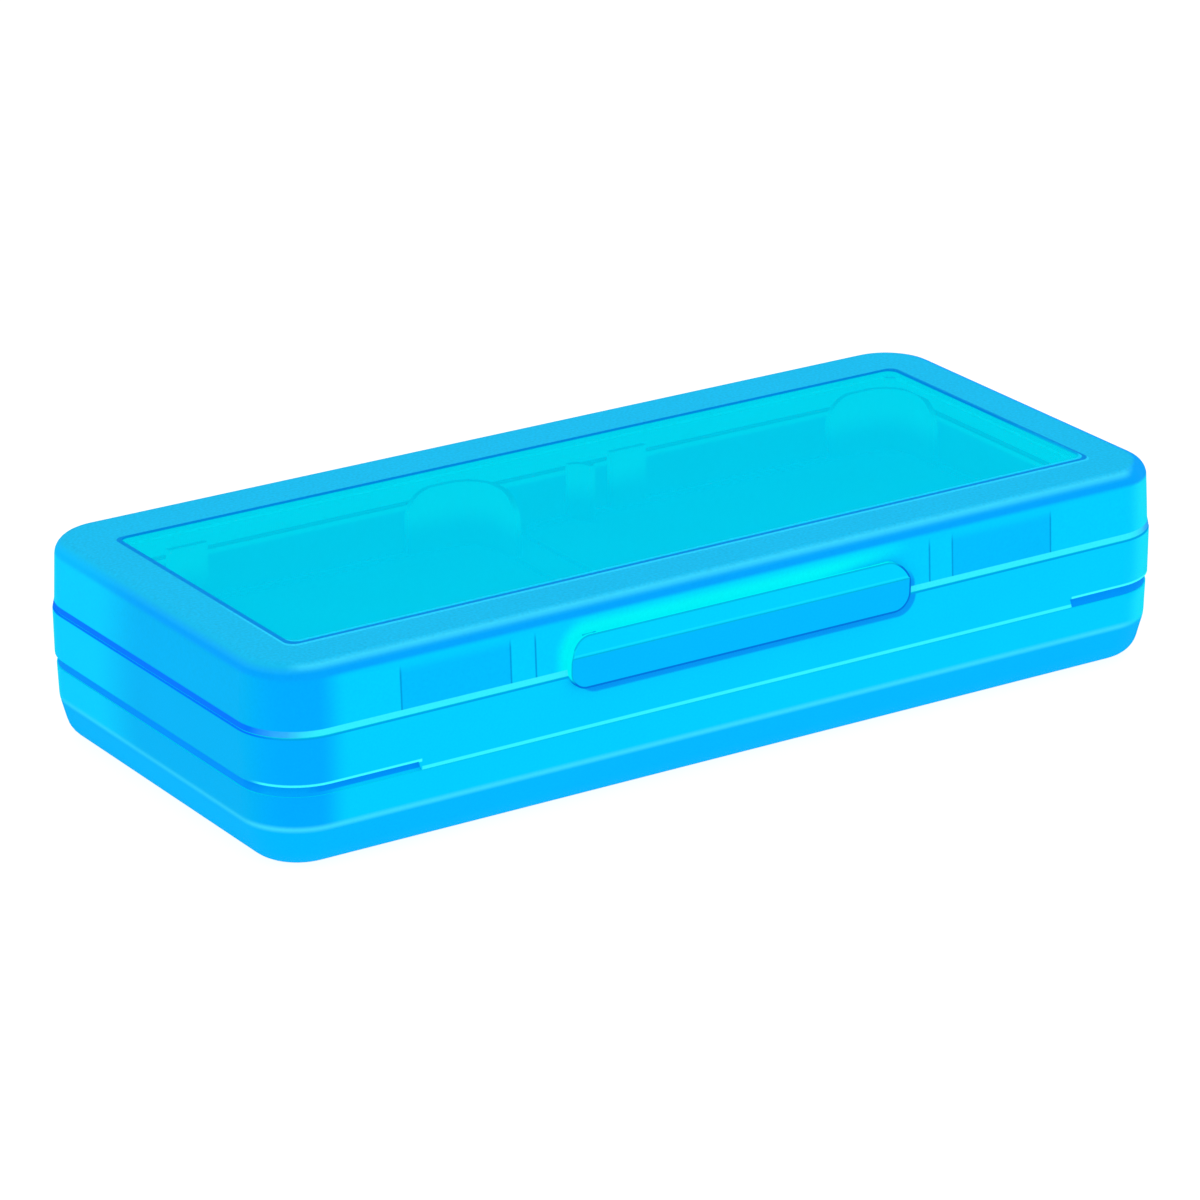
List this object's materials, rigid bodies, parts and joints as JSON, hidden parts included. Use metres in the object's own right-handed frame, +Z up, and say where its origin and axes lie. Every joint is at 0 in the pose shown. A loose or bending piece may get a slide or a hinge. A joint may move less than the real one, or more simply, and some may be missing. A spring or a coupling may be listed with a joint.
{
  "type": "pencil case",
  "caption": "Two-deck translucent hard pencil case: lower tub, hinged middle deck with two trays, hinged window lid and a ridged front latch tab.",
  "frame": {"origin": "middle of the flat underside of the base, on the table", "axes": "+X along the length to the right of the latch, -Y to the front where the latch is, +Z up"},
  "size_m": [0.2008, 0.0971, 0.0395],
  "materials": {
    "base_plastic": "translucent tinted, satin",
    "deck_plastic": "translucent tinted, satin",
    "lid_plastic": "translucent tinted, fine frosted grain",
    "window_plastic": "clear tinted, polished",
    "latch_plastic": "translucent tinted, satin",
    "tray_plastic": "translucent tinted, smooth",
    "pin_steel": "drawn wire"
  },
  "bodies": {
    "base": {"base_tray": "base_plastic", "deck_hinge_pins": "pin_steel"},
    "deck": {"deck_tray": "deck_plastic", "left_tray": "tray_plastic", "right_tray": "tray_plastic", "lid_hinge_pins": "pin_steel"},
    "lid": {"lid_frame": "lid_plastic", "lid_window": "window_plastic", "latch_pins": "pin_steel"},
    "latch": {"latch_tab": "latch_plastic"}
  },
  "joints": [
    {"name": "deck_hinge", "type": "hinge", "parent": "base", "child": "deck", "pos_m": [0, 0.04815, 0.0158], "axis": [-1, 0, 0], "range_deg": [0, 75]},
    {"name": "lid_hinge", "type": "hinge", "parent": "deck", "child": "lid", "pos_m": [0, 0.04815, 0.0262], "axis": [-1, 0, 0], "range_deg": [0, 110]},
    {"name": "latch_pivot", "type": "hinge", "parent": "lid", "child": "latch", "pos_m": [0, -0.0436, 0.0314], "axis": [-1, 0, 0], "range_deg": [0, 15]}
  ]
}
